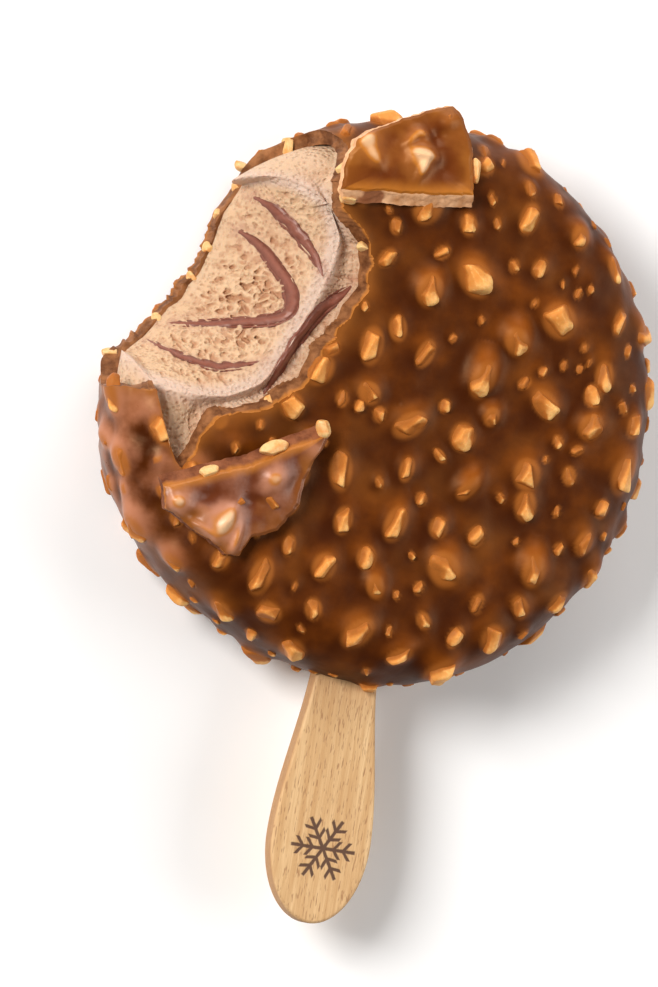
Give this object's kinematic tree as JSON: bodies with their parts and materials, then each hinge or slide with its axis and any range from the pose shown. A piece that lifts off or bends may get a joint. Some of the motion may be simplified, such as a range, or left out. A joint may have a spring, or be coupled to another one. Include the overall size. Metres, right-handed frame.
{
  "type": "bitten ice cream bar on a stick",
  "caption": "Round ice cream bar on a flat wooden stick, coated in milk chocolate with chopped hazelnuts, lying on its back with a bite taken out and shards of coating on top.",
  "frame": {"origin": "middle of the back face, in the plane that the bar rests on", "axes": "+Z out of the front face, -Y along the stick towards its free end"},
  "size_m": [0.0777, 0.1124, 0.0234],
  "materials": {
    "chocolate_coating": "satin milk chocolate over chopped nuts",
    "ice_cream": "porous, bitten ice cream",
    "cocoa_ripple": "thick cocoa sauce, half matte",
    "hazelnut": "chopped roasted hazelnut, thinly coated",
    "beech": "raw, fine-grained beech"
  },
  "bodies": {
    "root": {"coating": "chocolate_coating", "ice_cream": "ice_cream", "ripple_upper": "cocoa_ripple", "ripple_middle": "cocoa_ripple", "ripple_lower": "cocoa_ripple", "ripple_lip": "cocoa_ripple", "shard_top": "chocolate_coating", "shard_low": "chocolate_coating", "stick": "beech"}
  },
  "joints": []
}
